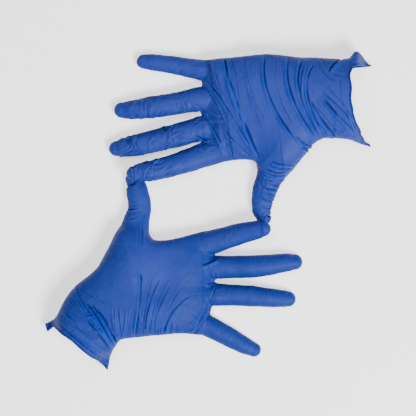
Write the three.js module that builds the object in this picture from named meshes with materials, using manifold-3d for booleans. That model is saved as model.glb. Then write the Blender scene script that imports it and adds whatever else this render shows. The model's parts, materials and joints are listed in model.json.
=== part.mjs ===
// A pair of disposable nitrile gloves, kept in the shape of the hands that wore them.
//
// The right glove lies back up and the left glove lies palm up, so that thumbs and index fingers make a
// rectangle. Each glove is one dipped film. It is divided here where a worn glove bends: at the wrist, at
// the root of every finger and at every finger's middle joint. So each zone of film is a hollow shell.
//
// Millimetres, +Z up. The gloves lie on the plane z = 0, and the origin is under the middle of the pair.
import * as THREE from "three";
import { mergeVertices } from "three/addons/utils/BufferGeometryUtils.js";
import Module from "manifold-3d";

const wasm = await Module();
wasm.setup();

// ---- Driving dimensions ----
const FILM = 0.2; // thickness of the dipped film
const GAP = 0.3; // clearance between two zones of film that touch
const FINGER_SIDES = 14; // facets round a finger
const HAND_SIDES = 24; // facets round the hand and the cuff
const FINGER_ROUND = 2; // exponent of a finger's cross-section: 2 is an ellipse
const HAND_ROUND = 2.5; // exponent of the hand's cross-section: flatter on top than an ellipse
const FINGER_DEPTH = 0.84; // a finger's thickness over its width
const THUMB_DEPTH = 0.72;
const SINK = 1; // how much deeper a resting section would hang, were it not pressed flat by the table
const BEAD_RADIUS = 0.8; // the film rolled up at the cuff's edge
const BEAD_SIDES = 6;
const EAR_SHARPNESS = 6; // how narrow the pinched corners of the cuff's edge are
const OVERRUN = 4; // how far a hollow runs on past an open end, to open it

const BLUE = new THREE.MeshStandardMaterial({ color: 0x2f5fb0, roughness: 0.5, metalness: 0 });
const DEEP_BLUE = new THREE.MeshStandardMaterial({ color: 0x1f4c9c, roughness: 0.45, metalness: 0 });

// A finger runs heel, root, mid, tip in the plane: the heel is where its root runs out inside the hand.
// half gives its half width at those four, and lift the height of its underside at the mid and the tip.
// A hand runs from the knuckles to the wrist, and a cuff from the wrist to the rim: each station is x, y,
// half width and half depth.
const GLOVES = [
  {
    name: "right",
    fingers: [
      {
        name: "little",
        heel: [18, 114],
        root: [-4.3, 119.4],
        mid: [-31.0, 124.5],
        tip: [-61.5, 128.4],
        half: [9.5, 9.0, 7.6, 6.2],
        lift: [0, 0],
      },
      {
        name: "ring",
        heel: [19, 95],
        root: [-5.2, 93.1],
        mid: [-41.3, 88.4],
        tip: [-81.4, 84.0],
        half: [10.5, 10.4, 9.5, 7.3],
        lift: [0, 0],
      },
      {
        name: "middle",
        heel: [19, 74],
        root: [-4.3, 68.3],
        mid: [-43.9, 58.7],
        tip: [-86.6, 51.2],
        half: [10.5, 10.3, 9.7, 7.6],
        lift: [0, 0],
      },
      {
        name: "index",
        heel: [21, 55],
        root: [-1.7, 46.2],
        mid: [-34.4, 35.6],
        tip: [-70.3, 29.1],
        half: [11.5, 10.6, 9.7, 7.4],
        lift: [8, 13.5],
      },
      {
        name: "thumb",
        heel: [70, 60],
        root: [56.8, 34.4],
        mid: [48.2, 11.2],
        tip: [49.3, -13.8],
        half: [19, 13.2, 10.4, 6.0],
        lift: [0, 0],
      },
    ],
    hand: [
      [-3, 81.5, 43.5, 6],
      [1.5, 81.8, 45.6, 9],
      [14.6, 84.7, 45.1, 12.5],
      [36.1, 86.4, 45.1, 14.0],
      [57.6, 90.4, 42.6, 15.5],
      [79.1, 91.5, 38.2, 17.0],
      [88.0, 92.8, 36.4, 17.5],
    ],
    cuff: [
      [88.0, 92.8, 36.4, 17.5],
      [97.0, 93.7, 34.6, 18.0],
      [109.2, 94.0, 33.8, 19.0],
      [121.3, 92.4, 33.5, 20.0],
    ],
    ear: { length: 13, spread: 5 },
  },
  {
    name: "left",
    fingers: [
      {
        name: "index",
        heel: [-24, -37],
        root: [-0.9, -30.5],
        mid: [25.8, -23.2],
        tip: [54.4, -17.7],
        half: [11, 10.0, 9.2, 7.2],
        lift: [5, 14],
      },
      {
        name: "middle",
        heel: [-20, -53],
        root: [3.4, -51.6],
        mid: [41.3, -49.9],
        tip: [82.2, -46.3],
        half: [10.5, 10.4, 9.0, 7.3],
        lift: [0, 0],
      },
      {
        name: "ring",
        heel: [-20, -73],
        root: [2.6, -74.4],
        mid: [37.8, -76.3],
        tip: [76.2, -78.7],
        half: [10.5, 9.8, 9.2, 7.2],
        lift: [0, 0],
      },
      {
        name: "little",
        heel: [-20, -91],
        root: [0, -100.2],
        mid: [21.5, -112.7],
        tip: [45.4, -124.3],
        half: [11, 9.4, 8.6, 6.3],
        lift: [0, 0],
      },
      {
        name: "thumb",
        heel: [-74, -50],
        root: [-63.6, -24.1],
        mid: [-60.2, 0.9],
        tip: [-63.2, 28.8],
        half: [19, 13.0, 10.1, 7.4],
        lift: [0, 0],
      },
    ],
    hand: [
      [-1, -66, 41.5, 6],
      [-5.5, -66, 43.6, 9],
      [-24.1, -66.7, 40.9, 12.5],
      [-43.0, -68.8, 40.6, 14.0],
      [-62.8, -72.2, 39.5, 15.5],
      [-82.6, -80.0, 33.5, 17.0],
      [-96.3, -89.0, 29.6, 17.0],
    ],
    cuff: [
      [-96.3, -89.0, 29.6, 17.0],
      [-104.3, -101.5, 28.6, 18.0],
      [-110.5, -112.0, 26.5, 19.5],
    ],
    ear: { length: 5, spread: 3 },
  },
];

// ---- Solids ----

// A closed geometry as a manifold-3d solid.
function solidOf(geometry) {
  const plain = geometry.clone();
  plain.deleteAttribute("normal");
  plain.deleteAttribute("uv");
  const merged = mergeVertices(plain, 1e-4);
  const mesh = new wasm.Mesh({
    numProp: 3,
    vertProperties: merged.attributes.position.array,
    triVerts: new Uint32Array(merged.index.array),
  });
  return new wasm.Manifold(mesh);
}

function geometryOf(solid) {
  const mesh = solid.getMesh();
  return new THREE.BufferGeometry()
    .setAttribute("position", new THREE.BufferAttribute(mesh.vertProperties, 3))
    .setIndex(new THREE.BufferAttribute(mesh.triVerts, 1));
}

// A cosine or sine flattened to a superellipse of the given exponent.
const flatten = (wave, exponent) => Math.sign(wave) * Math.abs(wave) ** (2 / exponent);

// A solid through a row of upright cross-sections: a cylinder's rings moved out to the stations.
// A station has its centre, the heading of the sleeve there, half width, half depth, and the ear of a
// cuff's edge, which carries the section's two sides on along the heading and apart. Whatever would hang
// below the table is pressed flat on it.
function sleeve(stations, sides, exponent, inset = 0) {
  const table = Math.max(inset, 0);
  const geometry = new THREE.CylinderGeometry(1, 1, 1, sides, stations.length - 1);
  const position = geometry.attributes.position;
  const last = stations.length - 1;
  for (let i = 0; i < position.count; i++) {
    const station = stations[Math.round((0.5 - position.getY(i)) * last)];
    const reach = Math.hypot(position.getX(i), position.getZ(i));
    const turn = Math.atan2(position.getZ(i), position.getX(i));
    const ear = reach * Math.abs(Math.cos(turn)) ** EAR_SHARPNESS;
    const width = Math.max(station.width - inset, 0.01) + ear * (station.earSpread ?? 0);
    const depth = Math.max(station.depth - inset, 0.01);
    const across = reach * width * flatten(Math.cos(turn), exponent);
    const up = reach * depth * flatten(Math.sin(turn), exponent);
    const along = ear * (station.earLength ?? 0);
    const c = Math.cos(station.heading);
    const s = Math.sin(station.heading);
    position.setXYZ(
      i,
      station.centre.x + along * c - across * s,
      station.centre.y + along * s + across * c,
      Math.max(station.centre.z + up, table),
    );
  }
  return solidOf(geometry);
}

// The same station, carried on along its heading.
function carried(station, distance) {
  const step = new THREE.Vector3(Math.cos(station.heading), Math.sin(station.heading), 0);
  return { ...station, centre: station.centre.clone().addScaledVector(step, distance) };
}

const headingOf = (from, to) => Math.atan2(to.y - from.y, to.x - from.x);

// ---- Fingers ----

// The stations of one finger: the heel, the root plane, the middle joint, and a rounded end from the pad
// to the tip.
function fingerStations(finger) {
  const flat = finger.name === "thumb" ? THUMB_DEPTH : FINGER_DEPTH;
  const lifts = [0, 0, ...finger.lift];
  const [heel, root, mid, tip] = [finger.heel, finger.root, finger.mid, finger.tip].map(([x, y], i) => ({
    centre: new THREE.Vector3(x, y, lifts[i] + flat * finger.half[i] - SINK),
    width: finger.half[i],
    depth: flat * finger.half[i],
  }));
  heel.heading = headingOf(heel.centre, root.centre);
  root.heading = headingOf(root.centre, mid.centre);
  const endHeading = headingOf(mid.centre, tip.centre);
  mid.heading = (root.heading + endHeading) / 2;
  tip.heading = endHeading;
  const length = mid.centre.distanceTo(tip.centre);
  const pad = tip.width; // the end is as round as it is wide
  const rounded = [0, 28, 52, 72, 90].map((degrees) => {
    const turn = THREE.MathUtils.degToRad(degrees);
    const share = 1 - (pad * (1 - Math.sin(turn))) / length;
    return {
      ...tip,
      centre: mid.centre.clone().lerp(tip.centre, share),
      width: tip.width * Math.max(Math.cos(turn), 0.12),
      depth: tip.depth * Math.max(Math.cos(turn), 0.12),
    };
  });
  return { heel, root, mid, rounded };
}

const fingerSleeve = (stations, inset) => sleeve(stations, FINGER_SIDES, FINGER_ROUND, inset);

// The film from the finger's root to its middle joint: a tube open at both ends.
function lowerStall({ root, mid }) {
  const outer = fingerSleeve([carried(root, GAP / 2), carried(mid, -GAP / 2)], 0);
  const hollow = fingerSleeve([carried(root, -OVERRUN), root, mid, carried(mid, OVERRUN)], FILM);
  return outer.subtract(hollow);
}

// The film from the middle joint to the tip: a tube closed at its rounded end.
function tipStall({ mid, rounded }) {
  const outer = fingerSleeve([carried(mid, GAP / 2), ...rounded], 0);
  const inside = rounded.map((station) => carried(station, -FILM));
  const hollow = fingerSleeve([carried(mid, -OVERRUN), mid, ...inside], FILM);
  return outer.subtract(hollow);
}

// ---- Hand and cuff ----

// The stations of a hand or a cuff, headed along the line through their centres.
function bodyStations(rows) {
  const stations = rows.map(([x, y, width, depth]) => ({
    centre: new THREE.Vector3(x, y, depth - SINK),
    width,
    depth,
  }));
  stations.forEach((station, i) => {
    const before = stations[Math.max(i - 1, 0)].centre;
    const after = stations[Math.min(i + 1, stations.length - 1)].centre;
    station.heading = headingOf(before, after);
  });
  return stations;
}

const bodySleeve = (stations, inset) => sleeve(stations, HAND_SIDES, HAND_ROUND, inset);

// The film over the palm and the back: a flat sleeve with five finger roots on it, open at the wrist and at
// every root, and cut back from the stalls that it meets.
function handShell(hand, fingers) {
  let outer = bodySleeve([...hand.slice(0, -1), carried(hand.at(-1), -GAP / 2)], 0);
  for (const { heel, root } of fingers) {
    outer = outer.add(fingerSleeve([heel, carried(root, -GAP / 2)], 0));
  }
  let hollow = bodySleeve([carried(hand[0], FILM), ...hand.slice(1), carried(hand.at(-1), OVERRUN)], FILM);
  for (const { heel, root } of fingers) {
    hollow = hollow.add(fingerSleeve([carried(heel, FILM), root, carried(root, OVERRUN)], FILM));
  }
  let shell = outer.subtract(hollow);
  for (const { root, mid } of fingers) {
    shell = shell.subtract(fingerSleeve([carried(root, -GAP / 2), carried(mid, -GAP / 2)], -GAP));
  }
  return shell;
}

// The cuff from the wrist to the edge, where its two corners are pinched out into ears.
function cuffStations(glove) {
  const stations = bodyStations(glove.cuff);
  Object.assign(stations.at(-1), { earLength: glove.ear.length, earSpread: glove.ear.spread });
  return stations;
}

function cuffShell(stations) {
  const outer = bodySleeve([carried(stations[0], GAP / 2), ...stations.slice(1)], 0);
  const inside = [carried(stations[0], -OVERRUN), ...stations, carried(stations.at(-1), OVERRUN)];
  return outer.subtract(bodySleeve(inside, FILM));
}

// The rolled edge: a ring whose round section follows the cuff's edge just past it, and lies on the table
// below.
function cuffBead(stations) {
  const rim = carried(stations.at(-1), GAP + BEAD_RADIUS);
  const geometry = new THREE.TorusGeometry(1, BEAD_RADIUS, BEAD_SIDES, HAND_SIDES * 2);
  const position = geometry.attributes.position;
  const c = Math.cos(rim.heading);
  const s = Math.sin(rim.heading);
  for (let i = 0; i < position.count; i++) {
    const turn = Math.atan2(position.getY(i), position.getX(i));
    const outwards = Math.hypot(position.getX(i), position.getY(i)) - 1;
    const ear = Math.abs(Math.cos(turn)) ** EAR_SHARPNESS;
    const edge = (rim.width + ear * rim.earSpread) * flatten(Math.cos(turn), HAND_ROUND);
    const height = Math.max(rim.centre.z + rim.depth * flatten(Math.sin(turn), HAND_ROUND), BEAD_RADIUS);
    const across = edge + outwards * Math.cos(turn);
    const along = ear * rim.earLength + position.getZ(i);
    position.setXYZ(
      i,
      rim.centre.x + along * c - across * s,
      rim.centre.y + along * s + across * c,
      height + outwards * Math.sin(turn),
    );
  }
  return solidOf(geometry);
}

// ---- Assembly ----

function piece(name, solid, material) {
  const mesh = new THREE.Mesh(geometryOf(solid), material);
  mesh.name = name;
  return mesh;
}

function makeGlove(glove) {
  const group = new THREE.Group();
  const hand = bodyStations(glove.hand);
  const cuff = cuffStations(glove);
  hand.at(-1).heading = cuff[0].heading;
  const fingers = glove.fingers.map((finger) => ({ name: finger.name, ...fingerStations(finger) }));
  group.add(piece(`${glove.name}_hand_shell`, handShell(hand, fingers), BLUE));
  for (const finger of fingers) {
    group.add(piece(`${glove.name}_${finger.name}_stall`, lowerStall(finger), BLUE));
    group.add(piece(`${glove.name}_${finger.name}_tip`, tipStall(finger), BLUE));
  }
  group.add(piece(`${glove.name}_cuff`, cuffShell(cuff), BLUE));
  group.add(piece(`${glove.name}_cuff_bead`, cuffBead(cuff), DEEP_BLUE));
  return group;
}

const pair = new THREE.Group();
for (const glove of GLOVES) pair.add(makeGlove(glove));

// The origin is put under the middle of the pair.
const middle = new THREE.Box3().setFromObject(pair).getCenter(new THREE.Vector3());
pair.position.set(-middle.x, -middle.y, 0);

export default pair;
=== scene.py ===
import json

import bpy
import numpy as np
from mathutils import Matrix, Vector


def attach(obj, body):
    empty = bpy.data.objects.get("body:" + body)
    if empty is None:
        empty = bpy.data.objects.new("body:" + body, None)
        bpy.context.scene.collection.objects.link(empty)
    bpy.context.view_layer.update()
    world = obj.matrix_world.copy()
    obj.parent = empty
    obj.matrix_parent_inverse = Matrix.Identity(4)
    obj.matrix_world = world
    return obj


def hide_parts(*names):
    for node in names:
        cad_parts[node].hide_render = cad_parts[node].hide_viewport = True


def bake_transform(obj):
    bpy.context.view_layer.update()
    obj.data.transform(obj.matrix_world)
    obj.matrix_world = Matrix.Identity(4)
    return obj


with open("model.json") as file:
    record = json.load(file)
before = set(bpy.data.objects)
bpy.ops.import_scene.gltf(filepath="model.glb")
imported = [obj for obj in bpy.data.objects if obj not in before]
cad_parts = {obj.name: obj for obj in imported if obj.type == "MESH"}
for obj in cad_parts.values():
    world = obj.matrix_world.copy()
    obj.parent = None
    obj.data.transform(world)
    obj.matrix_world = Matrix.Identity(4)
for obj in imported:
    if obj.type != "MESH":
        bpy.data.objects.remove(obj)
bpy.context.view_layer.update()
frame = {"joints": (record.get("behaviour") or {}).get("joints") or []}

# ---- Right glove, back up: one dipped film ----
# A real glove is one film of nitrile rubber, dipped over a former, so its shape is worked out whole and is then cut
# where it bends. Over the back the film is drawn tight from the little finger's knuckle to the thumb, and its long
# folds run that way. Sizes are in millimetres.
STEP = 0.54  # between the points of the grid that the shape is worked out on
SINK = 1.0  # how far the round undersides are pressed down to lie flat on the table
OFF_TABLE = 0.02  # the least height of the film over the table
LEAST = 1e-9  # keeps a division from a zero length
PILLOW_EDGE = 36.0  # how far in from its outline a hand reaches its full thickness
PILLOW_POWER = 2.25  # a little squarer than an ellipse


def hinge(name):
    """A joint's point, in millimetres, and its axis."""
    joint = next(j for j in frame["joints"] if j["name"] == name)
    return 1000 * np.array(joint["pos_m"], float), np.array(joint["axis"], float)


class Grid:
    """Points every STEP mm through the box from low to high."""

    def __init__(self, low, high):
        self.low = np.array(low, float)
        count = np.ceil((np.array(high, float) - self.low) / STEP).astype(int) + 1
        self.x, self.y, self.z = (self.low[i] + STEP * np.arange(count[i]) for i in range(3))
        self.plan = np.stack(np.meshgrid(self.x, self.y, indexing="ij"), axis=-1)


def along_line(plan, points):
    """For each point of the plan: the nearest leg of a line through the points, the share along that leg, and the
    distance to it."""
    best = np.full(plan.shape[:-1], 1e9)
    leg = np.zeros(plan.shape[:-1], int)
    share = np.zeros(plan.shape[:-1])
    for i in range(len(points) - 1):
        a, b = points[i], points[i + 1]
        d = b - a
        t = np.clip(((plan - a) @ d) / (d @ d), 0, 1)
        gap = np.linalg.norm(plan - (a + t[..., None] * d), axis=-1)
        near = gap < best
        best, leg, share = np.where(near, gap, best), np.where(near, i, leg), np.where(near, t, share)
    return leg, share, best


def shell_distance(grid, reach, width, depth, height, power):
    """Distance to the surface whose section is a superellipse: reach across against width, and height above the
    middle against depth. Near the surface it is the true distance."""
    up = grid.z[None, None, :] - height[..., None]
    across = (reach / width)[..., None]
    ratio = (np.abs(across) ** power + np.abs(up / depth[..., None]) ** power) ** (1 / power)
    length = np.sqrt(reach[..., None] ** 2 + up**2)
    return np.where(ratio < 0.05, -depth[..., None], length * (1 - 1 / np.maximum(ratio, 0.05)))


def finger_field(grid, stations, flat, lifts):
    """A finger: a tube along stations of x, y and half width, from inside the hand to a half-round tip. Its depth is
    flat times its width, and lifts, one for all stations or one for each, raise its underside off the table."""
    rows = np.array(stations, float)
    ends = rows.copy()
    way = rows[-1, :2] - rows[-2, :2]
    ends[-1, :2] = rows[-1, :2] - way / np.linalg.norm(way) * rows[-1, 2]
    leg, share, gap = along_line(grid.plan, ends[:, :2])
    width = ends[leg, 2] + share * (ends[leg + 1, 2] - ends[leg, 2])
    rise = np.broadcast_to(np.array(lifts, float), len(rows))
    lift = rise[leg] + share * (rise[leg + 1] - rise[leg])
    depth = flat * width
    return shell_distance(grid, gap, width, depth, lift + depth - SINK, 2.0)


def outline_distance(plan, corners):
    """How far inside a closed outline each point of the plan is; negative outside."""
    loop = np.vstack([corners, corners[:1]])
    inside = np.zeros(plan.shape[:-1], bool)
    for a, b in zip(loop[:-1], loop[1:]):
        spans = (a[1] > plan[..., 1]) != (b[1] > plan[..., 1])
        rise = b[1] - a[1] if b[1] != a[1] else LEAST
        inside ^= spans & (plan[..., 0] < a[0] + (plan[..., 1] - a[1]) / rise * (b[0] - a[0]))
    gap = along_line(plan, loop)[2]
    return np.where(inside, gap, -gap)


def rounded_outline(corners):
    """The outline with its corners cut off twice, each time at 0.22 of the way along its two sides."""
    loop = np.array(corners, float)
    for _ in range(2):
        after = np.roll(loop, -1, axis=0)
        loop = np.stack([0.78 * loop + 0.22 * after, 0.22 * loop + 0.78 * after], axis=1).reshape(-1, 2)
    return loop


def hand_field(grid, corners, spine, bumps, pinches):
    """The hand and the cuff: a pillow as thick as the spine's stations say (x, y, half depth), rounded off towards
    its outline. Bumps are x, y, radius and height on the upper side. A pinch is x, y, radius and the share left."""
    inset = outline_distance(grid.plan, rounded_outline(corners))
    line = np.array(spine, float)
    leg, share, _ = along_line(grid.plan, line[:, :2])
    depth = line[leg, 2] + share * (line[leg + 1, 2] - line[leg, 2])
    for x, y, radius, left in pinches:
        depth = depth * (1 - (1 - left) * np.exp(-(((grid.plan - (x, y)) / radius) ** 2).sum(-1)))
    middle = depth - SINK
    reach = np.maximum(PILLOW_EDGE - inset, 0)
    field = shell_distance(grid, reach, np.full(depth.shape, PILLOW_EDGE), depth, middle, PILLOW_POWER)
    for x, y, radius, height in bumps:
        hump = height * np.exp(-(((grid.plan - (x, y)) / radius) ** 2).sum(-1))
        top = np.clip((grid.z[None, None, :] - middle[..., None]) / depth[..., None], 0, 1)
        field = field - hump[..., None] * top
    return field


def blended(a, b, k):
    """The smaller of two distances, with the corner between them filled to a radius of about k."""
    h = np.clip(0.5 + 0.5 * (b - a) / k, 0, 1)
    return b + (a - b) * h - k * h * (1 - h)


def glove_field(grid, outline, spine, bumps, pinches, fingers):
    """A whole glove: the hand joined to each finger by a fillet, wide at the thumb's web, and cut off flat at the
    table with a small radius."""
    field = hand_field(grid, outline, spine, bumps, pinches)
    for name, (stations, flat, lifts) in fingers.items():
        fillet = 6.0 if name == "thumb" else 1.7
        field = blended(field, finger_field(grid, stations, flat, lifts), fillet)
    table_level = grid.z[None, None, :]
    return -blended(-field, table_level, 0.8)


def net_surface(field, grid):
    """The zero surface of a field by surface nets: a vertex in each cell the surface crosses, at the mean of its
    crossings, and a face across each grid edge that changes sign."""
    size = np.array(field.shape) - 1
    offsets = np.array([(i, j, k) for i in (0, 1) for j in (0, 1) for k in (0, 1)])
    corner = [field[i : size[0] + i, j : size[1] + j, k : size[2] + k] for i, j, k in offsets]
    below = sum((c < 0).astype(np.int8) for c in corner)
    active = (below > 0) & (below < 8)
    index = np.full(active.shape, -1)
    index[active] = np.arange(active.sum())
    values = np.stack([c[active] for c in corner], axis=1)
    total = np.zeros((len(values), 3))
    hits = np.zeros(len(values))
    for a in range(8):
        for bit in (1, 2, 4):
            b = a | bit
            if b == a:
                continue
            fa, fb = values[:, a], values[:, b]
            crossed = (fa < 0) != (fb < 0)
            t = np.where(crossed, fa / np.where(crossed, fa - fb, 1), 0)
            point = offsets[a] + t[:, None] * (offsets[b] - offsets[a])
            total += np.where(crossed[:, None], point, 0)
            hits += crossed
    points = grid.low + STEP * (np.argwhere(active) + total / hits[:, None])
    quads = []
    for axis in range(3):
        u, v = (axis + 1) % 3, (axis + 2) % 3
        inside = np.moveaxis(field < 0, (axis, u, v), (0, 1, 2))
        cells = np.moveaxis(index, (axis, u, v), (0, 1, 2))
        change = inside[:-1, 1:-1, 1:-1] != inside[1:, 1:-1, 1:-1]
        leaving = inside[:-1, 1:-1, 1:-1][change]
        around = cells[:, :-1, :-1], cells[:, 1:, :-1], cells[:, 1:, 1:], cells[:, :-1, 1:]
        ring = np.stack([cell[change] for cell in around], axis=1)
        quads.append(np.where(leaving[:, None], ring, ring[:, ::-1]))
    quads = np.vstack(quads)
    a, b, c, d = (points[quads[:, i]] for i in range(4))
    short = np.linalg.norm(a - c, axis=1) < np.linalg.norm(b - d, axis=1)
    faces = np.where(short[:, None], quads[:, [0, 1, 2, 0, 2, 3]], quads[:, [1, 2, 3, 1, 3, 0]]).reshape(-1, 3)
    return points, faces


def sampled(field, grid, points):
    """The field at any points, and its slope there, by trilinear interpolation."""
    place = np.clip((points - grid.low) / STEP, 1, np.array(field.shape) - 2.001)
    base = place.astype(int)
    t = place - base

    def value(cell, t):
        i, j, k = cell.T
        c = [[[field[i + a, j + b, k + c] for c in (0, 1)] for b in (0, 1)] for a in (0, 1)]
        x, y, z = t.T
        e = [[c[a][b][0] * (1 - z) + c[a][b][1] * z for b in (0, 1)] for a in (0, 1)]
        return (e[0][0] * (1 - y) + e[0][1] * y) * (1 - x) + (e[1][0] * (1 - y) + e[1][1] * y) * x

    here = value(base, t)
    slope = []
    for axis in np.eye(3, dtype=bool):
        ahead, behind = np.where(axis, np.minimum(t + 0.5, 1), t), np.where(axis, np.maximum(t - 0.5, 0), t)
        slope.append(value(base, ahead) - value(base, behind))
    return here, np.stack(slope, axis=1)


def vertex_normals(points, faces):
    """The mean direction of the faces round each vertex, each face counting by its area."""
    a, b, c = (points[faces[:, i]] for i in range(3))
    cross = np.cross(b - a, c - a)
    total = np.zeros_like(points)
    for i in range(3):
        np.add.at(total, faces[:, i], cross)
    return total / np.maximum(np.linalg.norm(total, axis=1, keepdims=True), 1e-12)


def relaxed(points, faces, rounds, strength=0.5):
    """Moves every vertex by a share, strength, of the way to the mean of its neighbours."""
    pairs = np.vstack([faces[:, [0, 1]], faces[:, [1, 2]], faces[:, [2, 0]]])
    a, b = pairs[:, 0], pairs[:, 1]
    size = len(points)
    count = np.bincount(a, minlength=size) + np.bincount(b, minlength=size)
    for _ in range(rounds):
        total = np.zeros_like(points)
        for axis in range(3):
            total[:, axis] = np.bincount(a, points[b, axis], size) + np.bincount(b, points[a, axis], size)
        points = points + strength * (total / np.maximum(count, 1)[:, None] - points)
    return points


def formed(field, grid):
    """The smooth closed surface of the field: its net, relaxed and drawn back onto the field's zero three times."""
    points, faces = net_surface(field, grid)
    for _ in range(3):
        points = relaxed(points, faces, 1)
        here, slope = sampled(field, grid, points)
        slope /= np.maximum(np.linalg.norm(slope, axis=1, keepdims=True), 1e-6)
        points = points - 0.9 * here[:, None] * slope
    return relaxed(points, faces, 2, 0.4), faces


def fold_relief(points, path, width, height, side=1.0, seed=0):
    """A fold's height at each point: a ridge along a curve through three points, less a sharper furrow 1.25 widths to
    one side of it. Both are bell curves of the distance across. They fade at both ends, and two sine waves along the
    curve make them swell and thin."""
    a, b, c = (np.array(p, float) for p in path)
    t = np.linspace(0, 1, 15)[:, None]
    line = (1 - t) ** 2 * a + 2 * t * (1 - t) * (2 * b - (a + c) / 2) + t**2 * c
    low, high = line.min(0) - 4 * width, line.max(0) + 4 * width
    near = np.all((points[:, :2] > low) & (points[:, :2] < high), axis=1)
    plan = points[near, :2]
    leg, share, gap = along_line(plan, line)
    d = line[leg + 1] - line[leg]
    off = plan - line[leg]
    sign = np.sign(d[:, 0] * off[:, 1] - d[:, 1] * off[:, 0]) * side
    s = gap * sign / width
    way = (leg + share) / (len(line) - 1)
    fade = np.clip(np.minimum(way, 1 - way) / 0.14, 0, 1)
    fade = fade * fade * (3 - 2 * fade)
    length = np.linalg.norm(c - a)
    swell = 0.8 + 0.25 * np.sin(way * length / 7.0 + seed * 1.7) + 0.15 * np.sin(way * length / 3.1 + seed * 2.9)
    ridge = 0.9 * np.exp(-((s / 1.3) ** 2)) - 1.1 * np.exp(-(((s - 1.25) / 0.6) ** 2))
    relief = np.zeros(len(points))
    relief[near] = 1.3 * height * fade * swell * ridge
    return relief


def fold_family(points, first, last, count, width, height, seed):
    """Folds fanned evenly between a first and a last curve, each with its own small strays."""
    random = np.random.default_rng(seed)
    relief = np.zeros(len(points))
    first, last = np.array(first, float), np.array(last, float)
    for i in range(count):
        share = (i + 0.5 * random.uniform(-0.6, 0.6)) / max(count - 1, 1) if count > 1 else 0.5
        path = first + (last - first) * share + random.normal(0, 0.9, (3, 2))
        side = 1.0 if random.random() < 0.6 else -1.0
        size = width * random.uniform(0.75, 1.3), height * random.uniform(0.6, 1.25)
        relief += fold_relief(points, path, *size, side, seed + i)
    return relief


def folded(points, rows):
    """The sum of all the folds. A row of five is one fold (path, width, height, side, seed). A row of six is a family
    (first path, last path, count, width, height, seed)."""
    relief = np.zeros(len(points))
    for row in rows:
        relief += (fold_relief if len(row) == 5 else fold_family)(points, *row)
    return relief


def slack(points, seed, length):
    """Soft waves of the slack film: a sum of fourteen sine waves in random directions, about one high."""
    random = np.random.default_rng(seed)
    total = np.zeros(len(points))
    count = 14
    for _ in range(count):
        way = random.normal(size=3)
        way /= np.linalg.norm(way)
        total += np.sin(points @ way * (2 * np.pi / (length * random.uniform(0.6, 1.6))) + random.uniform(0, 6.28))
    return total / count**0.5


def zone(points, base, patches):
    """A mask over the plan: a base value, and soft round patches of x, y, radius and share."""
    total = np.full(len(points), float(base))
    for x, y, radius, share in patches:
        total += share * np.exp(-(((points[:, :2] - (x, y)) / radius) ** 2).sum(1))
    return np.clip(total, 0, 1)


def crumple(points, seed, size):
    """Crumpled film, up to about one high: narrow creases at random headings, each kind in patches of its own, and
    all of them bent by soft waves. A crease is the cube of one less the size of a sine."""
    random = np.random.default_rng(seed)
    bent = points + 0.5 * size * np.stack([slack(points, seed + i, 4 * size) for i in (1, 2, 3)], axis=1)
    total = np.zeros(len(points))
    for i in range(6):
        way = random.normal(size=3) * (1, 1, 0.5)
        way /= np.linalg.norm(way)
        phase = bent @ way * (np.pi / (size * random.uniform(0.8, 1.7))) + random.uniform(0, 6.28)
        patch = np.clip(slack(points, seed + 10 + i, 3.5 * size), 0, 1)
        total += patch * ((1 - np.abs(np.sin(phase))) ** 3 - 0.25)
    return total


def split(table, faces, level):
    """Cuts the triangles that the level's zero crosses. Gives the table with its new rows, and two lists of faces:
    those where the level is positive and those where it is negative."""
    side = level >= 0
    corner = side[faces]
    mixed = corner.any(1) != corner.all(1)
    whole, cut = faces[~mixed], faces[mixed]
    signs = side[cut]
    lone_side = signs.sum(1) == 1
    lone = np.argmax(signs == lone_side[:, None], axis=1)
    row = np.arange(len(cut))
    a, b, c = cut[row, lone], cut[row, (lone + 1) % 3], cut[row, (lone + 2) % 3]
    edges = np.sort(np.vstack([np.stack([a, b], 1), np.stack([a, c], 1)]), axis=1)
    unique, back = np.unique(edges, axis=0, return_inverse=True)
    back = back.reshape(-1)
    la, lb = level[unique[:, 0]], level[unique[:, 1]]
    t = np.clip(la / (la - lb), 0.0, 1.0)[:, None]
    fresh = table[unique[:, 0]] * (1 - t) + table[unique[:, 1]] * t
    p, q = len(table) + back[: len(cut)], len(table) + back[len(cut) :]
    tips = np.stack([a, p, q], 1)
    rests = np.vstack([np.stack([p, b, c], 1), np.stack([p, c, q], 1)])
    tip_up = side[a]
    rest_up = np.concatenate([side[b], side[b]])
    table = np.vstack([table, fresh])
    up = np.vstack([whole[side[whole[:, 0]]], tips[tip_up], rests[rest_up]])
    down = np.vstack([whole[~side[whole[:, 0]]], tips[~tip_up], rests[~rest_up]])
    return table, up, down


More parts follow.
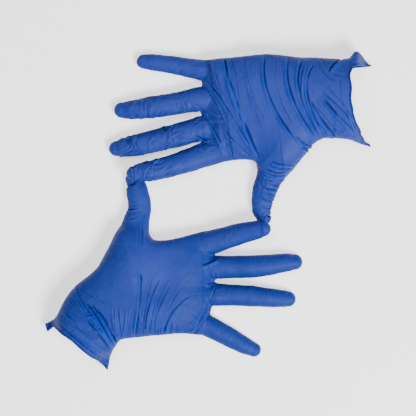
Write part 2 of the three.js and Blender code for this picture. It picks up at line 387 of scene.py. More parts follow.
class Glove:
    """A whole glove's surface as one table of vertices (x, y, z, normal, relief, stretch), cut into pieces. Its folds
    stand on the smooth form along its normals. Relief is the folds' height less a painted shade for the steep sides,
    and stretch is how thin the film is drawn."""

    WAVES = (0.25, 3, 28.0), (0.09, 5, 9.5)  # height, seed and length
    CRUMPLE_HEIGHT, CRUMPLE = 0.65, (200, 5.0)  # seed and size
    UNEVEN_STRETCH, STRETCH_PATCHES = 0.12, (71, 60.0)  # seed and length
    UNDERSIDE = (5.0, -4.0, 0.0)  # the folds of the side on the table are the same ones, set off by this
    # how much shade is painted down the steep sides
    SIDE_PAINTED_SHADE = 0.42

    def __init__(self, field, grid, folds, pallor, crumples):
        points, faces = formed(field, grid)
        smooth = vertex_normals(points, faces)
        upper = np.clip((smooth[:, 2] + 0.35) / 0.5, 0, 1)
        lower = 1 - upper
        relief = upper * folded(points, folds) + lower * folded(points + self.UNDERSIDE, folds)
        # the table holds the film flat, so folds and waves fade towards it
        low = np.clip(points[:, 2] / 1.2, 0.15, 1)
        relief += self.CRUMPLE_HEIGHT * zone(points, *crumples) * crumple(points, *self.CRUMPLE)
        relief = relief * low
        waves = low * sum(height * slack(points, seed, length) for height, seed, length in self.WAVES)
        moved = points + (relief + waves)[:, None] * smooth
        moved[:, 2] = np.maximum(moved[:, 2], OFF_TABLE)
        stretch = zone(points, *pallor) + self.UNEVEN_STRETCH * slack(points, *self.STRETCH_PATCHES)
        normal = vertex_normals(moved, faces)
        moved = moved + (*PLAN_SHIFT, 0.0)
        # painted shade: the colour is darkened down the steep sides, where light from above falls off
        relief_less_painted_shade = relief - self.SIDE_PAINTED_SHADE * (1 - np.abs(smooth[:, 2])) ** 1.3
        self.table = np.column_stack([moved, normal, relief_less_painted_shade, np.clip(stretch, 0, 1)])
        self.faces = faces

    def parted(self, faces, level):
        """Cuts faces along the level's zero, and gives those above it and those below."""
        self.table, above, below = split(self.table, faces, level(self.table[:, :3]))
        return above, below

    def take(self, level):
        """Cuts off what lies above the level's zero, and gives its faces."""
        above, self.faces = self.parted(self.faces, level)
        return above


# the gloves are drawn on a plan of their own, in which the right little finger's root is here
LITTLE_ROOT = (-4.3, 119.4)
PLAN_SHIFT = hinge("right_little_root")[0][:2] - np.array(LITTLE_ROOT)

# the outline of the hand and cuff, the spine's stations (x, y, half depth), knuckles and pinches (see hand_field),
# and each finger's stations (x, y, half width), depth as a share of its width, and the lift of its underside
RIGHT_OUTLINE = [
    (-5.0, 128.0), (1.7, 128.6), (18.9, 129.9), (36.1, 131.6), (53.3, 132.9), (70.5, 131.0), (79.1, 129.6),
    (96.3, 129.2), (113.5, 127.5), (121.0, 127.5), (127.3, 137.0), (142.5, 122.0), (152.0, 110.0), (156.0, 80.0),
    (152.0, 60.0), (141.5, 53.0), (132.4, 55.5), (122.1, 58.3), (113.5, 59.4), (100.6, 60.6), (93.7, 57.4),
    (87.7, 51.6), (79.1, 41.3), (70.5, 31.8), (60.0, 30.0), (44.0, 34.0), (41.0, 41.0), (30.0, 41.6), (18.9, 40.4),
    (10.3, 38.7), (1.7, 36.1), (-4.0, 36.5), (-5.0, 60.0), (-6.0, 81.0), (-5.0, 105.0),
]
RIGHT_SPINE = [(-10, 82, 8.5), (-1, 82, 9.0), (8, 83, 10.8), (15, 84.7, 12.2), (36, 86.4, 14.0), (57.6, 90, 15.5),
               (79, 91.5, 17.0), (97, 93.7, 18.0), (109, 94.0, 19.0), (121, 92.4, 20.0), (155, 92.0, 20.5)]
RIGHT_KNUCKLES = [(7, 116, 8, 1.2), (5, 93, 9, 1.3), (4, 69, 9, 1.4), (9, 50, 9, 1.2), (66, 48, 15, 1.5)]
RIGHT_PINCHES = [(139, 124, 10, 0.25), (138, 55, 10, 0.25)]
RIGHT_FINGERS = {
    "little": ([(17, 115, 9.0), (-6.9, 120.0, 9.0), (-32.7, 124.3, 7.8), (-49.9, 126.7, 6.9), (-61.9, 128.1, 6.0)],
               0.84, 0),
    "ring": ([(18, 96, 10.0), (-6.9, 94.2, 10.4), (-32.7, 89.7, 9.8), (-49.9, 87.3, 9.7), (-67.1, 85.1, 8.3),
              (-81.3, 84.3, 7.0)], 0.84, 0),
    "middle": ([(18, 74, 10.0), (-6.9, 68.8, 10.7), (-24.1, 63.6, 10.4), (-41.3, 59.3, 10.3), (-58.5, 55.0, 9.6),
                (-75.7, 51.9, 8.2), (-86.0, 51.2, 7.0)], 0.84, 0),
    "index": ([(20, 54, 11.0), (-6.9, 44.7, 10.6), (-32.7, 35.7, 9.6), (-49.9, 31.8, 9.0), (-62.8, 29.7, 7.6),
               (-70.1, 29.2, 6.6)], 0.84, (0, 1.0, 7.6, 10.3, 12.3, 13.5)),
    "thumb": ([(70, 58, 17.0), (56.3, 32.7, 13.2), (52.5, 24.1, 11.4), (49.0, 15.5, 10.6), (46.9, 6.9, 9.6),
               (46.4, -1.7, 8.0), (48.2, -8.6, 6.4), (49.0, -12.9, 5.2)], 0.72, 0),
}

# the folds, each kind named for where it lies
RIGHT_FOLDS = [
    # the strong ridge from the little finger's knuckle to the web of the thumb, and the lesser folds beside it
    (((12, 131), (21.5, 93), (43, 39)), 1.5, 1.25, 1, 1),
    (((15.5, 131), (20, 104), (33, 66)), 1.0, 0.9, -1, 7),
    (((17, 131), (23, 110), (24, 88)), 0.8, 0.5, 1, 8),
    (((-5, 112), (12, 89), (38, 46)), 1.0, 0.7, 1, 2),
    (((-4, 108), (8, 88), (20, 60)), 0.8, 0.4, -1, 3),
    (((4, 128), (6, 112), (14, 92)), 0.8, 0.35, 1, 9),
    # long folds over the back, from the outer edge to the thumb's base
    (((28, 131), (35.5, 95.5), (46, 62)), 0.8, 0.55, 1, 31),
    (((48, 133), (50.5, 95.5), (77, 53)), 1.1, 1.0, 1, 32),
    (((37, 132), (40, 100), (50, 72)), 0.7, 0.28, -1, 33),
    (((58, 133), (58, 104), (68, 74)), 0.7, 0.3, 1, 34),
    (((68, 132), (69, 97), (92, 57)), 1.2, 1.05, 1, 35),
    (((81, 130), (76, 99.8), (95, 58)), 1.1, 1.05, 1, 36),
    (((84, 124), (80, 94), (93, 62)), 0.8, 0.5, -1, 37),
    (((90, 125), (83, 97), (99, 59)), 1.0, 1.0, 1, 38),
    (((31, 130), (34, 100), (42, 76)), ((64, 131), (64, 102), (80, 66)), 7, 0.65, 0.2, 13),
    # diagonals over the wrist into the cuff
    (((85, 92), (96, 73.5), (109, 58)), 1.1, 1.0, 1, 39),
    (((91, 96), (109, 78), (124, 62)), 1.1, 0.7, 1, 40),
    (((95, 101), (115.5, 82), (127, 66)), 0.9, 0.5, -1, 41),
    (((88, 86), (98, 70), (112, 60)), ((100, 106), (114, 90), (124, 74)), 7, 0.7, 0.3, 14),
    (((103, 114), (110.5, 123), (122, 129)), 1.3, 0.8, 1, 4),
    (((92, 125), (99, 112), (110, 104)), ((96, 127), (106, 118), (118, 114)), 3, 0.8, 0.3, 15),
    # the bundle that wraps the inside of the wrist
    (((70, 66), (82, 54), (98, 57)), ((80, 49), (89, 46), (98, 50)), 5, 0.85, 0.7, 42),
    (((94, 66), (100, 58), (104, 50)), ((104, 68), (108, 60), (114, 54)), 3, 0.8, 0.4, 43),
    # the hem's inner line
    (((113.5, 112), (115, 88.5), (127, 60)), 0.7, 0.3, -1, 5),
    # gathers in the webs of the fingers
    (((-8, 80), (2, 66), (11, 50)), ((-3, 78), (4, 66), (10, 54)), 3, 0.75, 0.56, 16),
    (((9, 58), (17, 50), (28, 42)), ((12, 66), (22, 56), (36, 44)), 3, 0.8, 0.52, 17),
    (((-12, 88), (-6, 83), (0, 78)), ((-12, 74), (-6, 78), (1, 80)), 3, 0.8, 0.56, 18),
    (((-12, 62), (-5, 58), (3, 56)), ((-10, 52), (-4, 56), (4, 60)), 3, 0.8, 0.60, 19),
    # creases across the fingers' joints
    (((-52, 97), (-55, 87), (-52, 77)), ((-59, 96), (-58, 87), (-61, 77)), 3, 0.8, 0.24, 21),
    (((-24, 100), (-27, 93), (-24, 86)), ((-33, 97), (-32, 90), (-36, 82)), 4, 0.7, 0.17, 22),
    (((-60, 64), (-61, 57), (-58, 50)), ((-65, 58), (-65, 52), (-68, 46)), 2, 0.8, 0.24, 23),
    (((-26, 74), (-31, 65), (-28, 58)), ((-36, 70), (-36, 60), (-40, 52)), 4, 0.7, 0.18, 24),
    (((-38, 44), (-45, 37), (-50, 24)), ((-44, 40), (-54, 32), (-56, 23)), 5, 0.75, 0.36, 25),
    (((-54, 40), (-59, 31), (-57, 22)), ((-67, 36), (-65, 29), (-67, 22)), 7, 0.6, 0.28, 26),
    (((-12, 130), (-15, 122), (-12, 116)), ((-20, 126), (-20, 118), (-22, 114)), 3, 0.7, 0.18, 27),
    (((-44, 133), (-46, 128), (-44, 122)), ((-57, 132), (-57, 127), (-60, 122)), 4, 0.55, 0.10, 28),
    (((-70, 90), (-72, 84), (-70, 79)), ((-80, 88), (-80, 84), (-79, 79)), 4, 0.55, 0.10, 61),
    (((-74, 59), (-77, 52), (-74, 45)), ((-86, 56), (-87, 51), (-86, 46)), 4, 0.55, 0.10, 62),
    # short creases across the thumb, on its outer side
    (((48, 22), (56, 18), (64, 17)), ((43, 10), (51, 5), (58, 4)), 7, 0.75, 0.6, 29),
    (((52, 40), (62, 36), (72, 36)), ((48, 27), (57, 24), (67, 24)), 6, 0.8, 0.65, 30),
    (((44, 4), (50, -2), (56, -4)), ((44, -6), (49, -9), (54, -12)), 4, 0.6, 0.3, 63),
]
# where the film is stretched pale and where it is crumpled: a base value, then patches of x, y, radius and share
RIGHT_PALLOR = (0.55, [(60, 95, 26, 0.3), (118, 92, 18, 0.5), (22, 66, 22, 0.2)])
RIGHT_CRUMPLES = (0.16, [
    (-64, 30, 17, 1.0), (-70, 52, 20, 0.7), (-30, 62, 14, 0.8), (-60, 88, 18, 0.6), (-22, 92, 12, 0.7),
    (-40, 36, 14, 0.5), (58, 20, 18, 0.7), (50, -6, 12, 0.8), (-15, 120, 12, 0.5), (2, 62, 14, 0.7),
    (2, 84, 12, 0.6), (112, 72, 14, 0.15),
])

right_grid = Grid((-92, -18, -2), (158, 140, 44))
right_field = glove_field(right_grid, RIGHT_OUTLINE, RIGHT_SPINE, RIGHT_KNUCKLES, RIGHT_PINCHES, RIGHT_FINGERS)
right = Glove(right_field, right_grid, RIGHT_FOLDS, RIGHT_PALLOR, RIGHT_CRUMPLES)

# ---- Right cuff ----
# The same film from the wrist's crease to the open end, where its edge bows in between two pointed ears. It is blue
# right through, with the satin surface that a chlorine wash leaves, and turns paler where it is stretched thin. Shade
# is painted darker into its furrows and a highlight brighter along its crests. An inner wall gives the open end its
# thickness.
# the edge's stations: where across the cuff, and how far along it the edge lies there
RIGHT_RIM = [(40, 141), (54.6, 140.5), (56.8, 135.5), (62.8, 130.0), (69.7, 127.0), (75.7, 124.5), (80, 122.3),
             (88.6, 121.4), (97.2, 120.9), (114.4, 120.6), (120.0, 122.0), (122.2, 126.0), (123.6, 140.5), (140, 141)]


def right_rim(points):
    """How far past the cuff's edge a point is. The edge bows in towards the hand between its two ears, and two small
    sine waves, along it and up it, make it uneven."""
    across, edge = np.array(RIGHT_RIM, float).T
    plan = points[:, :2] - PLAN_SHIFT
    past = plan[:, 0] - np.interp(plan[:, 1], across, edge)
    return past - 0.5 * np.sin(plan[:, 1] / 3.1) - 0.3 * np.sin(points[:, 2] / 2.3 + 1)


def link(tree, a, b):
    """Joins socket a to socket b."""
    tree.links.new(a, b)


def noise(tree, coordinates, scale, detail, roughness=0.5, distortion=0.0):
    """Cloudy noise on the coordinates, scale clouds to the metre."""
    node = tree.nodes.new("ShaderNodeTexNoise")
    node.inputs["Scale"].default_value = scale
    node.inputs["Detail"].default_value = detail
    node.inputs["Roughness"].default_value = roughness
    node.inputs["Distortion"].default_value = distortion
    link(tree, coordinates, node.inputs["Vector"])
    return node.outputs["Fac"]


def math(tree, kind, a, b=None, c=None, clamp=False):
    """One step of arithmetic on sockets or plain numbers. MULTIPLY_ADD is a times b plus c."""
    node = tree.nodes.new("ShaderNodeMath")
    node.operation = kind
    node.use_clamp = clamp
    for value, slot in zip((a, b, c), node.inputs):
        if value is None:
            continue
        if isinstance(value, (int, float)):
            slot.default_value = value
        else:
            link(tree, value, slot)
    return node.outputs[0]


def mix_colour(tree, factor, a, b):
    """The colour that lies the factor's share of the way from a to b."""
    node = tree.nodes.new("ShaderNodeMix")
    node.data_type = "RGBA"
    for value, slot in ((factor, node.inputs[0]), (a, node.inputs[6]), (b, node.inputs[7])):
        if isinstance(value, (int, float, tuple)):
            slot.default_value = value
        else:
            link(tree, value, slot)
    return node.outputs[2]


def film_group():
    """The film's colour, roughness and fine height. Noise mottles it from plain to pale and stretch turns it pale.
    Shade is painted dark into the furrows and down the sides, and a highlight is painted bright along the crests.
    Fine grain and micro-wrinkles make the roughness and the height."""
    group = bpy.data.node_groups.new("nitrile film", "ShaderNodeTree")
    for name, kind in (("Colour", "Color"), ("Roughness", "Float"), ("Height", "Float")):
        group.interface.new_socket(name=name, in_out="OUTPUT", socket_type=f"NodeSocket{kind}")
    out = group.nodes.new("NodeGroupOutput")
    place = group.nodes.new("ShaderNodeTexCoord").outputs["Object"]
    relief = group.nodes.new("ShaderNodeAttribute")
    relief.attribute_name = "relief"
    stretch = group.nodes.new("ShaderNodeAttribute")
    stretch.attribute_name = "stretch"
    mottle = noise(group, place, 55.0, 3.0, 0.55)
    grain = noise(group, place, 900.0, 2.0, 0.6)
    micro = noise(group, place, 300.0, 4.0, 0.6, 0.8)
    # painted shade: the dark colour that furrows and steep sides are mixed towards
    furrow_shade_colour = (0.0005, 0.013, 0.115, 1.0)
    plain = (0.0042, 0.025, 0.2, 1.0)
    pale = (0.024, 0.045, 0.295, 1.0)
    # painted highlight: the bright colour that the crests of folds are mixed towards
    crest_highlight_colour = (0.002, 0.038, 0.38, 1.0)
    mottled = math(group, "MULTIPLY_ADD", mottle, 0.5, -0.05, clamp=True)
    stretched = math(group, "MULTIPLY", stretch.outputs["Fac"], 0.85, clamp=True)
    # painted shade: darker where the relief is low, in furrows and down the sides
    furrow_shade = math(group, "MULTIPLY_ADD", relief.outputs["Fac"], -1.7, 0.0, clamp=True)
    # painted highlight: brighter where the relief is high, along the crests
    crest_highlight = math(group, "MULTIPLY_ADD", relief.outputs["Fac"], 0.9, -0.12, clamp=True)
    colour = mix_colour(group, mottled, plain, pale)
    colour = mix_colour(group, stretched, colour, pale)
    colour = mix_colour(group, furrow_shade, colour, furrow_shade_colour)
    colour = mix_colour(group, math(group, "MULTIPLY", crest_highlight, 0.75), colour, crest_highlight_colour)
    link(group, colour, out.inputs["Colour"])
    rough = math(group, "MULTIPLY_ADD", mottle, 0.18, 0.41)
    link(group, math(group, "MULTIPLY_ADD", grain, 0.08, rough), out.inputs["Roughness"])
    wrinkle_metres, grain_metres = 0.00019, 0.000012
    height = math(group, "MULTIPLY", micro, wrinkle_metres)
    link(group, math(group, "MULTIPLY_ADD", grain, grain_metres, height), out.inputs["Height"])
    return group


FILM_GROUP = film_group()


def film_material(name, tint=None, share=0.0):
    """The satin film, mixed by the share with a tint where one is given."""
    material = bpy.data.materials.new(name)
    material.use_nodes = True
    tree = material.node_tree
    shader = tree.nodes["Principled BSDF"]
    film = tree.nodes.new("ShaderNodeGroup")
    film.node_tree = FILM_GROUP
    colour = film.outputs["Colour"]
    if tint:
        colour = mix_colour(tree, share, colour, (*tint, 1.0))
    link(tree, colour, shader.inputs["Base Color"])
    link(tree, film.outputs["Roughness"], shader.inputs["Roughness"])
    bump = tree.nodes.new("ShaderNodeBump")
    bump.inputs["Strength"].default_value = 0.7
    bump.inputs["Distance"].default_value = 1.0
    link(tree, film.outputs["Height"], bump.inputs["Height"])
    link(tree, bump.outputs["Normal"], shader.inputs["Normal"])
    shader.inputs["IOR"].default_value = 1.5
    shader.inputs["Specular IOR Level"].default_value = 0.13
    return material


NITRILE = film_material("nitrile film")


def placed(name, data):
    """Puts a new object into the scene, at the origin."""
    thing = bpy.data.objects.new(name, data)
    bpy.context.scene.collection.objects.link(thing)
    return thing


def open_edges(faces):
    """The edges that only one face has, as pairs of vertices in the order the face turns."""
    pairs = np.vstack([faces[:, [0, 1]], faces[:, [1, 2]], faces[:, [2, 0]]])
    size = faces.max() + 1
    return pairs[~np.isin(pairs[:, 1] * size + pairs[:, 0], pairs[:, 0] * size + pairs[:, 1])]


def film_piece(name, table, faces, material, node, wall=0.0):
    """A piece of film as an object: its faces, an inner wall if asked, and normals that run on over the cuts."""
    used, flat = np.unique(faces, return_inverse=True)
    faces = flat.reshape(-1, 3)
    rows = table[used]
    points, normals, marks = rows[:, :3], rows[:, 3:6], rows[:, 6:8]
    normals = normals / np.maximum(np.linalg.norm(normals, axis=1, keepdims=True), LEAST)
    if wall:
        inner = points - wall * normals
        inner[:, 2] = np.maximum(inner[:, 2], 0.06)
        a, b = open_edges(faces).T
        n = len(points)
        rim = np.vstack([np.stack([b, a, a + n], 1), np.stack([b, a + n, b + n], 1)])
        faces = np.vstack([faces, faces[:, ::-1] + n, rim])
        points, normals, marks = np.vstack([points, inner]), np.vstack([normals, -normals]), np.vstack([marks, marks])
    mesh = bpy.data.meshes.new(name)
    mesh.vertices.add(len(points))
    mesh.vertices.foreach_set("co", (points / 1000).astype(np.float32).ravel())
    mesh.loops.add(3 * len(faces))
    mesh.loops.foreach_set("vertex_index", faces.astype(np.int32).ravel())
    mesh.polygons.add(len(faces))
    mesh.polygons.foreach_set("loop_start", np.arange(0, 3 * len(faces), 3, dtype=np.int32))
    mesh.update(calc_edges=True)
    # relief also carries the painted shade of the sides, and the film material paints shade and highlight from it
    for title, column in (("relief", 0), ("stretch", 1)):
        attribute = mesh.attributes.new(title, "FLOAT", "POINT")
        attribute.data.foreach_set("value", marks[:, column].astype(np.float32))
    mesh.polygons.foreach_set("use_smooth", np.ones(len(faces), bool))
    mesh.normals_split_custom_set_from_vertices(normals.astype(np.float32).tolist())
    mesh.materials.append(material)
    thing = placed(name, mesh)
    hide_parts(node)
    return thing


def beyond(point, heading, offset=0.0, half=None):
    """The level of a cut across a finger: positive past the plane, and only within half mm of the line."""
    point, way = np.array(point[:2], float), np.array([np.cos(heading), np.sin(heading)])

    def level(points):
        off = points[:, :2] - point
        along = off @ way - offset
        if half is None:
            return along
        across = off @ np.array([-way[1], way[0]])
        return np.where(np.abs(across) < half, along, np.minimum(along, -1.0))

    return level


def heading_of(joint):
    """A hinge's point, and the direction in the plan in which the film runs on past it."""
    point, axis = hinge(joint)
    return point, np.arctan2(axis[0], -axis[1])


def bend(piece):
    """Bakes the piece's placement into its mesh and sets it back at the origin."""
    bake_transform(piece)


CUFF_WALL = 0.35


def hang_cuff(side, glove, rim, before):
    """Trims the glove at its rim and cuts its cuff off short of the wrist's crease."""
    glove.take(rim)
    wrist, heading = heading_of(f"{side}_wrist")
    faces = glove.take(beyond(wrist, heading, -before))
    cuff = film_piece(f"{side}_film_cuff", glove.table, faces, NITRILE, f"{side}_cuff", wall=CUFF_WALL)
    bend(cuff)
    return faces


right_cuff_faces = hang_cuff("right", right, right_rim, 8.0)

# ---- Right fingers and thumb ----
# Each is a tube of the same film, closed at its tip where the former ended. It is cut past its root and before its
# middle joint.
TIP_BEFORE = 5.0  # how far short of the middle joint a tip starts


def cut_fingers(side, glove, cuts, thumb):
    """Takes each finger off the glove past its root by ahead mm, only within half mm of its line, and its tip off it
    before its middle joint. A thumb's hinges lie beside it, so its own two centres and headings are given."""
    for name, (ahead, half) in cuts.items():
        if name == "thumb":
            (root, root_heading), (middle, middle_heading) = [(np.array(c) + PLAN_SHIFT, turn) for c, turn in thumb]
        else:
            root, root_heading = heading_of(f"{side}_{name}_root")
            middle, middle_heading = heading_of(f"{side}_{name}_mid")
        finger = glove.take(beyond(root, root_heading, ahead, half))
        tip, stall = glove.parted(finger, beyond(middle, middle_heading, -TIP_BEFORE))
        piece = film_piece(f"{side}_film_{name}_stall", glove.table, stall, NITRILE, f"{side}_{name}_stall")
        bend(piece)
        piece = film_piece(f"{side}_film_{name}_tip", glove.table, tip, NITRILE, f"{side}_{name}_tip")
        bend(piece)


RIGHT_THUMB = [((56.8, 34.4), np.arctan2(-23.2, -8.6)), ((48.2, 11.2), np.radians(-98.9))]
RIGHT_CUTS = {"little": (3.0, 13), "ring": (4.0, 14), "middle": (4.0, 14), "index": (4.0, 15), "thumb": (1.0, 20)}
cut_fingers("right", right, RIGHT_CUTS, RIGHT_THUMB)

# ---- Right hand shell ----
# What is left of the film: the palm, the back and the roots of the fingers. It lies still on the table, and every
# other piece of the glove runs on from its edges.
right_hand = film_piece("right_film_hand", right.table, right.faces, NITRILE, "right_hand_shell")
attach(right_hand, "right_hand")

# ---- Right cuff's rolled bead ----
# The cuff's edge is rolled up on itself while the dipped film is still wet. That leaves a bead about 1.8 mm thick,
# deeper in colour than the film because it is many turns of it.
BEAD_RADIUS = 0.9
BEAD_SIDES = 10
NITRILE_BEAD = film_material("nitrile bead", (0.002, 0.016, 0.17), 0.6)


def rim_loop(glove, faces):
    """The vertices of the cuff's outer edge, in order, from the one farthest from the hand. Each round doubles the
    list with the vertices as many steps further on, until it comes back to the first."""
    edges = open_edges(faces)
    after = np.zeros(len(glove.table), int)
    after[edges[:, 0]] = edges[:, 1]
    hand = glove.table[np.unique(glove.faces), :2].mean(0)
    away = np.linalg.norm(glove.table[edges[:, 0], :2] - hand, axis=1)
    loop = edges[[np.argmax(away)], 0]
    while loop[0] not in loop[1:]:
        loop = np.concatenate([loop, after[loop]])
        after = after[after]
    return loop[: np.argmax(loop[1:] == loop[0]) + 1]


def rim_bead(side, glove, cuff_faces):
    """The rolled edge: a round section carried along the cuff's smoothed edge, square to its path."""
    loop = glove.table[rim_loop(glove, cuff_faces)]
    points, normals = loop[:, :3], loop[:, 3:6]
    for _ in range(3):
        points = (points + 0.5 * (np.roll(points, 1, 0) + np.roll(points, -1, 0))) / 2
    ahead = np.roll(points, -1, 0) - np.roll(points, 1, 0)
    ahead /= np.maximum(np.linalg.norm(ahead, axis=1, keepdims=True), LEAST)
    outward = normals - (normals * ahead).sum(1, keepdims=True) * ahead
    outward /= np.maximum(np.linalg.norm(outward, axis=1, keepdims=True), LEAST)
    aside = np.cross(ahead, outward)
    turn = np.arange(BEAD_SIDES) * 2 * np.pi / BEAD_SIDES
    offset = np.cos(turn)[None, :, None] * outward[:, None] + np.sin(turn)[None, :, None] * aside[:, None]
    ring = points[:, None] + BEAD_RADIUS * offset
    ring[..., 2] = np.maximum(ring[..., 2], OFF_TABLE)
    count = len(points)
    i, j = np.meshgrid(np.arange(count), np.arange(BEAD_SIDES), indexing="ij")
    here, there = i * BEAD_SIDES, ((i + 1) % count) * BEAD_SIDES
    a, b, c, d = here + j, there + j, there + (j + 1) % BEAD_SIDES, here + (j + 1) % BEAD_SIDES
    faces = np.vstack([np.stack([a, c, b], -1).reshape(-1, 3), np.stack([a, d, c], -1).reshape(-1, 3)])
    marks = np.zeros((count * BEAD_SIDES, 2))
    table = np.column_stack([ring.reshape(-1, 3), offset.reshape(-1, 3), marks])
    thing = film_piece(f"{side}_film_bead", table, faces, NITRILE_BEAD, f"{side}_cuff_bead")
    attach(thing, f"{side}_cuff")


rim_bead("right", right, right_cuff_faces)

# ---- Left glove, palm up: one dipped film ----
# The same make of glove, drawn the same way, with its palm up. The palm is smooth and taut, folds fan from the heel
# of the thumb to the outer edge, and deep grooves run round the bent wrist.
LEFT_OUTLINE = [
    (3.0, -18.5), (-15.5, -23.0), (-32.7, -27.3), (-46.0, -28.4), (-50.5, -24.0), (-64.0, -18.0), (-76.5, -18.0),
    (-81.7, -27.5), (-86.9, -38.7), (-92.9, -48.2), (-97.2, -53.3), (-105.8, -60.2), (-114.4, -67.1), (-123.0, -77.4),
    (-129.0, -90.3), (-133.3, -96.3), (-141.0, -100.0), (-141.5, -107.5), (-136.0, -122.0), (-118.0, -142.0),
    (-96.0, -148.0), (-86.0, -140.0), (-84.6, -129.0), (-82.0, -123.0), (-78.3, -117.0), (-76.0, -113.6),
    (-72.0, -112.4), (-58.5, -111.2), (-41.3, -109.4), (-24.1, -107.8), (-15.5, -108.6), (-6.9, -109.8),
    (0.0, -108.0), (2.0, -90.0), (6.0, -76.0), (6.5, -52.0), (5.0, -34.0),
]
LEFT_SPINE = [(12, -66, 8.0), (3, -66, 8.5), (-6, -66, 10.5), (-24, -66.7, 12.5), (-43, -68.8, 14.0),
              (-63, -72.2, 15.5), (-82.6, -80.0, 16.5), (-96.3, -89.0, 17.0), (-104.3, -101.5, 18.0),
              (-110.5, -112.0, 19.5), (-126, -136, 20.0)]
LEFT_MOUNDS = [(-72, -52, 20, 2.4), (-46, -97, 22, 1.8), (-42, -66, 16, -1.8), (-10, -52, 12, 0.8),
               (-8, -80, 12, 0.8)]
LEFT_PINCHES = [(-138, -103, 9, 0.3), (-88, -135, 9, 0.35)]
LEFT_FINGERS = {
    "index": ([(-24, -37, 11.0), (6.0, -28.6, 10.5), (27.5, -22.4, 9.2), (44.7, -18.5, 8.0), (54.2, -17.2, 6.8)],
              0.84, (0, 1.5, 5.4, 10.7, 14)),
    "middle": ([(-20, -53, 10.0), (7.7, -51.6, 10.3), (36.1, -50.7, 9.8), (53.3, -49.5, 9.0), (70.5, -47.3, 8.0),
                (82.1, -46.4, 7.0)], 0.84, 0),
    "ring": ([(-20, -73, 10.0), (7.7, -74.8, 9.9), (18.9, -75.1, 9.3), (36.1, -76.4, 9.2), (53.3, -77.8, 8.6),
              (66.2, -78.7, 7.6), (76.1, -79.1, 6.8)], 0.84, 0),
    "little": ([(-20, -91, 10.5), (-2.6, -100.6, 9.5), (15.1, -110.3, 8.7), (33.1, -119.8, 7.4), (45.6, -125.1, 6.2)],
               0.84, 0),
    "thumb": ([(-74, -50, 17.0), (-63.6, -18.9, 12.8), (-61.9, -10.3, 11.3), (-59.3, -1.7, 10.1), (-59.8, 6.9, 9.9),
               (-61.5, 15.5, 9.6), (-63.6, 24.1, 8.2), (-64.0, 28.8, 7.2)], 0.72, 0),
}

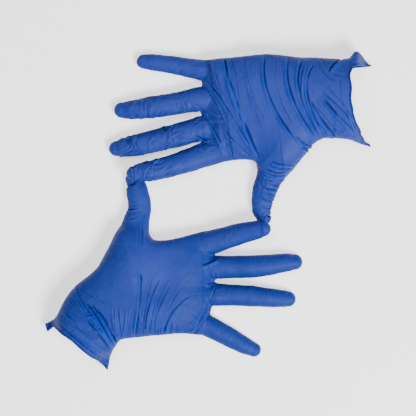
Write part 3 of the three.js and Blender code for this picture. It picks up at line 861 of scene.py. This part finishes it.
# the folds, each kind named for where it lies
LEFT_FOLDS = [
    # the fan from the middle of the palm down to the outer edge
    (((-58.5, -54), (-59.3, -79), (-64, -112)), 1.1, 0.85, 1, 41),
    (((-48, -58), (-54, -82), (-57, -111)), 0.9, 0.55, 1, 42),
    (((-40, -60), (-50, -86), (-53, -111)), 0.9, 0.6, -1, 43),
    (((-32, -62), (-44, -88), (-48, -111)), 1.0, 0.7, 1, 44),
    (((-24, -66), (-38, -92), (-43, -111)), 0.9, 0.55, 1, 45),
    (((-14, -76), (-29, -89), (-37, -110)), 1.0, 0.7, -1, 46),
    (((-50, -70), (-54, -88), (-56, -112)), ((-18, -80), (-30, -92), (-36, -112)), 8, 0.6, 0.2, 64),
    (((-66, -84), (-68, -98), (-70, -113)), ((-88, -86), (-84, -100), (-80, -113)), 6, 0.8, 0.35, 65),
    (((-66, -100), (-65, -106), (-66, -113)), ((-12, -98), (-15, -104), (-18, -111)), 18, 0.6, 0.3, 66),
    # deep grooves round the bent wrist, which run together at its outer side
    (((-106, -81), (-94.5, -95), (-81, -121)), 1.0, 1.3, 1, 47),
    (((-100, -83), (-90, -97), (-79, -121)), 0.9, 1.2, 1, 48),
    (((-95, -88), (-87.5, -99), (-78, -120)), 1.1, 1.6, 1, 49),
    (((-113, -68), (-108.5, -80), (-92, -101)), 0.8, 0.8, 1, 50),
    (((-103, -93), (-93, -105), (-82, -121)), 0.9, 0.8, -1, 51),
    (((-114, -76), (-106, -88), (-98, -98)), 0.8, 0.4, 1, 52),
    (((-110, -84), (-104, -90), (-96, -90)), ((-104, -96), (-98, -104), (-90, -112)), 3, 0.7, 0.35, 69),
    # the hem's inner line
    (((-131, -94), (-110, -111), (-86, -131)), 0.8, 0.8, -1, 6),
    (((-127, -91), (-107, -106), (-84, -126)), 0.8, 0.35, 1, 10),
    # lesser grooves between the wrist and the hem
    (((-112, -68), (-98, -78), (-84, -84)), ((-104, -64), (-98, -72), (-90, -84)), 3, 0.8, 0.35, 67),
    (((-121, -80), (-110, -92), (-92, -108)), ((-125, -90), (-112, -102), (-96, -118)), 5, 0.9, 0.4, 68),
    (((-110, -84), (-104, -90), (-96, -90)), ((-100, -96), (-94, -104), (-88, -112)), 3, 0.8, 0.4, 69),
    # long lines from the thumb into the palm
    (((-61, -6), (-60, -28), (-59, -50)), ((-54, -6), (-54, -18), (-55, -34)), 3, 0.8, 0.3, 70),
    # the little finger's base
    (((6, -66), (-1, -82), (-14, -107)), 1.1, 0.6, 1, 71),
    (((3, -88), (-7, -100), (-13, -108)), 1.0, 0.55, 1, 72),
    (((4, -76), (-6, -90), (-16, -104)), ((0, -92), (-9, -101), (-16, -108)), 4, 0.6, 0.25, 73),
    # the webs
    (((9, -40), (2, -42), (-6, -46)), ((11, -63), (4, -65), (-2, -67)), 2, 1.0, 0.66, 74),
    (((2, -50), (6, -56), (8, -62)), ((-2, -48), (2, -56), (4, -66)), 3, 0.8, 0.3, 75),
    # faint creases over the fingers
    (((12, -18), (14, -26), (10, -34)), ((22, -15), (20, -23), (24, -31)), 3, 0.6, 0.15, 76),
    (((26, -42), (28, -47), (25, -51)), ((60, -40), (58, -46), (62, -50)), 5, 0.6, 0.16, 77),
    (((18, -66), (21, -72), (17, -77)), ((56, -70), (54, -75), (58, -80)), 5, 0.6, 0.16, 78),
    (((14, -101), (12, -106), (8, -112)), ((36, -113), (34, -118), (30, -124)), 4, 0.6, 0.16, 79),
    # short creases on the thumb's outer side
    (((-71, 4), (-65, 4), (-60, 7)), ((-73, -12), (-67, -12), (-61, -8)), 5, 0.7, 0.35, 80),
    (((-72, 26), (-68, 24), (-64, 26)), ((-70, 12), (-66, 11), (-62, 13)), 3, 0.6, 0.2, 81),
]
LEFT_PALLOR = (0.1, [(-46, -42, 20, 0.8), (-60, 8, 14, 0.4), (-108, -104, 12, 0.6)])
LEFT_CRUMPLES = (0.09, [
    (-106, -100, 20, 0.7), (-68, 0, 10, 0.4), (0, -64, 14, 0.4), (-84, -40, 12, 0.3), (-4, -96, 14, 0.4),
])

left_grid = Grid((-146, -152, -2), (92, 42, 44))
left_field = glove_field(left_grid, LEFT_OUTLINE, LEFT_SPINE, LEFT_MOUNDS, LEFT_PINCHES, LEFT_FINGERS)
left = Glove(left_field, left_grid, LEFT_FOLDS, LEFT_PALLOR, LEFT_CRUMPLES)

# ---- Left cuff ----
# The same film past the bent wrist. Its edge runs slantwise, and the ear on its upper side is rolled back on itself.
# An inner wall gives the open end its thickness.
LEFT_RIM_HEADING = np.radians(-128.0)
LEFT_RIM_MIDDLE = (-112.7, -116.1)
LEFT_RIM = [(-40, 6), (-31.5, 4.6), (-29, 6.4), (-26.7, 8.0), (-25.1, 0.6), (-16, -0.6), (-4, -1.4), (10, -0.8),
            (24, 0.0), (28, 1.0), (33.5, 2.0), (40, 2)]


def left_rim(points):
    """How far past the cuff's edge a point is, along the rim's heading, less two small sine waves along the edge and
    up it."""
    across, edge = np.array(LEFT_RIM, float).T
    off = points[:, :2] - PLAN_SHIFT - LEFT_RIM_MIDDLE
    c, s = np.cos(LEFT_RIM_HEADING), np.sin(LEFT_RIM_HEADING)
    along, side = off @ (c, s), off @ (-s, c)
    return along - np.interp(side, across, edge) - 0.2 * np.sin(side / 4.3) - 0.15 * np.sin(points[:, 2] / 2.3)


left_cuff_faces = hang_cuff("left", left, left_rim, 6.0)

# ---- Left fingers and thumb ----
# Tubes of film like the right ones, with the palm up. The index and the thumb reach over to the other glove.
LEFT_THUMB = [((-63.6, -24.1), np.arctan2(25.0, 3.4)), ((-60.2, 0.9), np.radians(89.2))]
LEFT_CUTS = {"index": (7.0, 14), "middle": (7.0, 13), "ring": (7.0, 13), "little": (4.0, 14), "thumb": (1.0, 20)}
cut_fingers("left", left, LEFT_CUTS, LEFT_THUMB)

# ---- Left hand shell ----
# The rest of the left glove's film, palm up: the palm, its mounds, the heel of the thumb and the roots of the
# fingers. It lies still on the table, and the other pieces run on from its edges.
left_hand = film_piece("left_film_hand", left.table, left.faces, NITRILE, "left_hand_shell")
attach(left_hand, "left_hand")

# ---- Left cuff's rolled bead ----
# Rolled up from the film's own edge while it was wet, as the right one is. It follows the slant of the edge and
# turns over with the rolled ear.
rim_bead("left", left, left_cuff_faces)

# ---- Floor, light and camera ----
# The gloves lie on a plain pale table. A large soft lamp stands at the lower right with a weaker one opposite, and
# the view is straight down.
floor_mesh = bpy.data.meshes.new("floor")
floor_mesh.from_pydata([(-3, -3, 0), (3, -3, 0), (3, 3, 0), (-3, 3, 0)], [], [(0, 1, 2, 3)])
floor = placed("floor", floor_mesh)
paper = bpy.data.materials.new("pale floor")
paper.use_nodes = True
surface = paper.node_tree.nodes["Principled BSDF"].inputs
surface["Base Color"].default_value = (0.93, 0.93, 0.93, 1)
surface["Emission Color"].default_value = (1, 1, 1, 1)
surface["Emission Strength"].default_value = 1.0
surface["Specular IOR Level"].default_value = 0.1
surface["Roughness"].default_value = 0.9
floor_mesh.materials.append(paper)


def lamp(name, place, size, power):
    """A square soft lamp of a size in metres and a power in watts, turned to the middle of the table."""
    data = bpy.data.lights.new(name, "AREA")
    data.size = size
    data.energy = power
    thing = placed(name, data)
    thing.location = place
    thing.rotation_euler = (-Vector(place)).to_track_quat("-Z", "Y").to_euler()
    return thing


key = lamp("key", (0.85, -0.9, 1.5), 0.7, 74)
fill = lamp("fill", (-0.35, 0.5, 1.7), 1.0, 20)

# the room is bright where it is seen and dim where it lights
ROOM_SEEN, ROOM_LIGHT = 2.3, 0.07
world = bpy.data.worlds.new("soft room")
world.use_nodes = True
room = world.node_tree.nodes["Background"]
room.inputs["Color"].default_value = (1, 1, 1, 1)
seen = world.node_tree.nodes.new("ShaderNodeLightPath").outputs["Is Camera Ray"]
strength = math(world.node_tree, "MULTIPLY_ADD", seen, ROOM_SEEN, ROOM_LIGHT)
link(world.node_tree, strength, room.inputs["Strength"])
bpy.context.scene.world = world

VIEW_WIDTH = 0.358  # metres across at the height of the gloves' middle
GLOVE_MIDDLE = 0.015
LENS, SENSOR = 135, 36
camera_data = bpy.data.cameras.new("camera")
camera_data.lens = LENS
camera_data.sensor_width = SENSOR
camera = placed("camera", camera_data)
camera.location = (-0.0007, -0.0003, VIEW_WIDTH * LENS / SENSOR + GLOVE_MIDDLE)
bpy.context.scene.camera = camera
